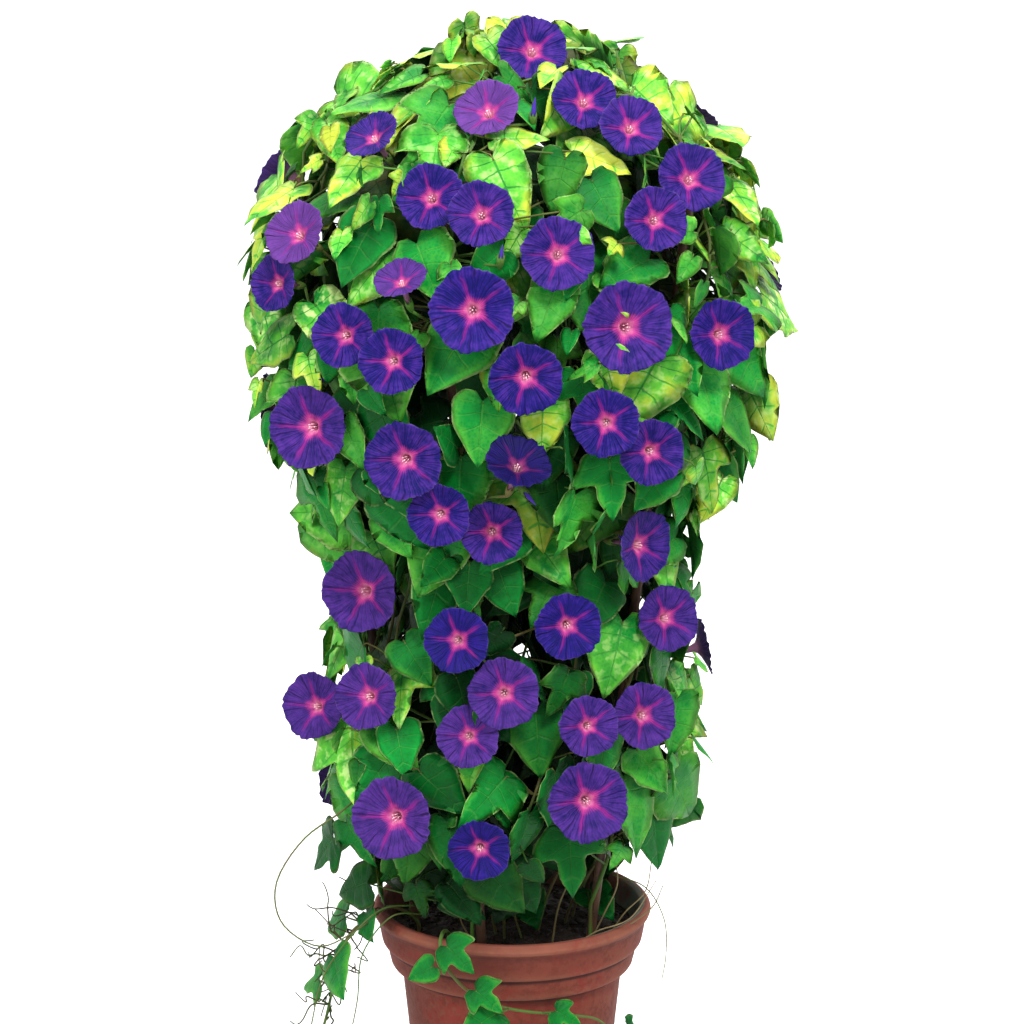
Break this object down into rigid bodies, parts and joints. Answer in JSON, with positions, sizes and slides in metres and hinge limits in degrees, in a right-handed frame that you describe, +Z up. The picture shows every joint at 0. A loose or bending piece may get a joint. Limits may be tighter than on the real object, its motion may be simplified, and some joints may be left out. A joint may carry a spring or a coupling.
{
  "type": "morning glory vine",
  "caption": "Potted morning glory in full flower, climbing leaning canes to a round head over a narrower column, in a terracotta pot that stands on a floor.",
  "frame": {"origin": "middle of the pot's flat underside, on the surface that it stands on", "axes": "+Z up, -Y towards the side with the most separate flowers, which is the front, +X to the right of that front"},
  "size_m": [0.5518, 0.5678, 1.1467],
  "materials": {
    "terracotta": "matt fired clay with worn, paler edges and grey-green weathering",
    "soil": "dark moist crumbly potting soil",
    "cane": "weathered brown garden cane with nodes",
    "foliage": "soft satin green leaf with paler veins and margins",
    "petal": "velvety violet-blue petal with magenta rays and a pink throat"
  },
  "bodies": {
    "root": {"pot": "terracotta", "soil": "soil", "cane_1": "cane", "cane_2": "cane", "cane_3": "cane", "cane_4": "cane", "cane_5": "cane", "vine_1": "foliage", "vine_2": "foliage", "vine_3": "foliage", "vine_4": "foliage", "vine_5": "foliage", "trail_front": "foliage", "trail_left": "foliage", "bloom_1": "petal", "bloom_2": "petal", "bloom_3": "petal", "bloom_4": "petal", "bloom_5": "petal", "bloom_6": "petal", "bloom_7": "petal", "bloom_8": "petal", "bloom_9": "petal", "bloom_10": "petal", "bloom_11": "petal", "bloom_12": "petal", "bloom_13": "petal", "bloom_14": "petal", "bloom_15": "petal", "bloom_16": "petal", "bloom_17": "petal", "bloom_18": "petal", "bloom_19": "petal", "bloom_20": "petal", "bloom_21": "petal", "bloom_22": "petal", "bloom_23": "petal", "bloom_24": "petal", "bloom_25": "petal", "bloom_26": "petal", "bloom_27": "petal", "bloom_28": "petal", "bloom_29": "petal", "bloom_30": "petal", "bloom_31": "petal", "bloom_32": "petal", "bloom_33": "petal", "bloom_34": "petal", "bloom_35": "petal", "bloom_36": "petal", "bloom_37": "petal", "bloom_38": "petal", "bloom_39": "petal", "bloom_40": "petal"}
  },
  "joints": []
}
